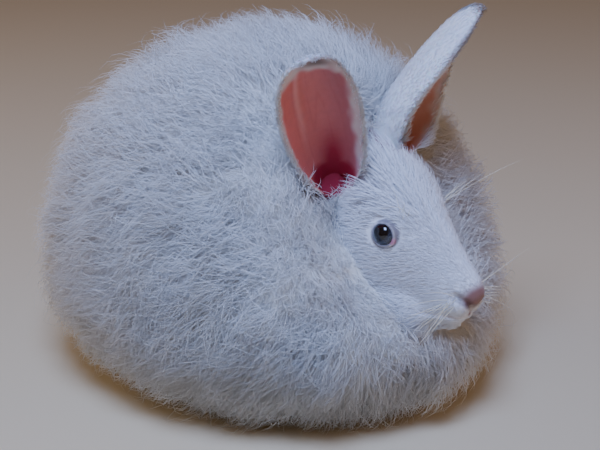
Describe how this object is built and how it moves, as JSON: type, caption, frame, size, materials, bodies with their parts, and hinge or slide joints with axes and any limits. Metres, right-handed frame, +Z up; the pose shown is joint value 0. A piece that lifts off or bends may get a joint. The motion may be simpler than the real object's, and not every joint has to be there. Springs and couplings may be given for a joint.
{
  "type": "angora rabbit",
  "caption": "Rabbit at rest in a ball of long white wool, ears up and open to the sides.",
  "frame": {"origin": "on the floor under the middle of the belly", "axes": "+X towards the nose, +Y towards the animal's left side, +Z up"},
  "size_m": [0.3318, 0.2808, 0.2469],
  "materials": {
    "wool": "long soft white wool",
    "short_fur": "short dense white fur",
    "ear_skin": "thin pink skin, white fur behind",
    "eye": "wet and glossy, slate blue iris"
  },
  "bodies": {
    "root": {"head": "short_fur", "eye_left": "eye", "eye_right": "eye", "ear_left": "ear_skin", "ear_right": "ear_skin", "neck": "wool", "torso": "wool", "tail": "wool", "foreleg_left": "short_fur", "foreleg_right": "short_fur", "hindleg_left": "short_fur", "hindleg_right": "short_fur"}
  },
  "joints": []
}
